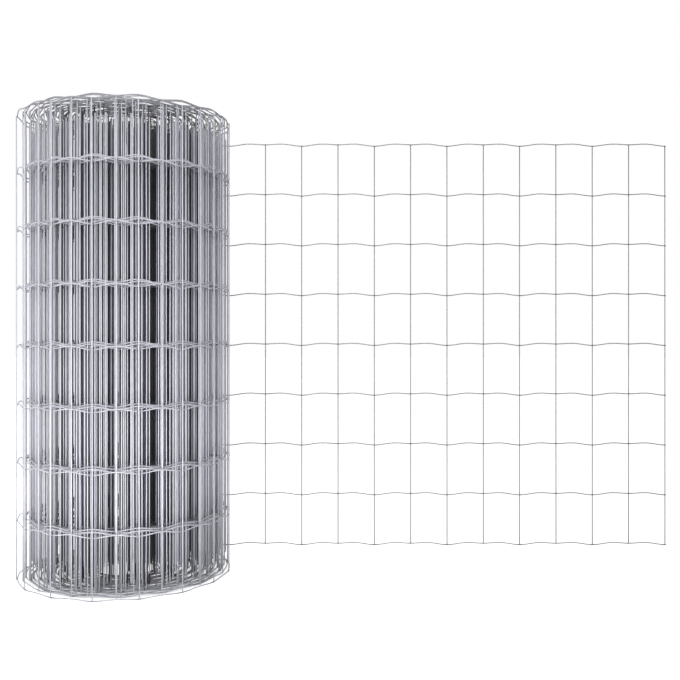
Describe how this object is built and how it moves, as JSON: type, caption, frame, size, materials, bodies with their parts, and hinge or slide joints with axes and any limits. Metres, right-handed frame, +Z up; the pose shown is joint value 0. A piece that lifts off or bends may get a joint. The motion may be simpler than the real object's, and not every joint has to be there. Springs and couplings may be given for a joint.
{
  "type": "wire fencing roll",
  "caption": "Roll of galvanised welded wire fencing standing on its end, with crimped line wires, straight stay wires, an open bore and the free end of the fence unrolled flat beside it.",
  "frame": {"origin": "on the roll's axis, at the lower end of its bore, which is on the floor", "axes": "+Z up along the bore; +X along the unrolled end, away from the roll; the unrolled end lies on the +Y side of the roll"},
  "size_m": [1.2252, 0.3739, 0.8065],
  "materials": {
    "galvanised_wire": "drawn wire, hot-dip galvanised, satin"
  },
  "bodies": {
    "root": {"wound_roll": "galvanised_wire", "unrolled_end": "galvanised_wire"}
  },
  "joints": []
}
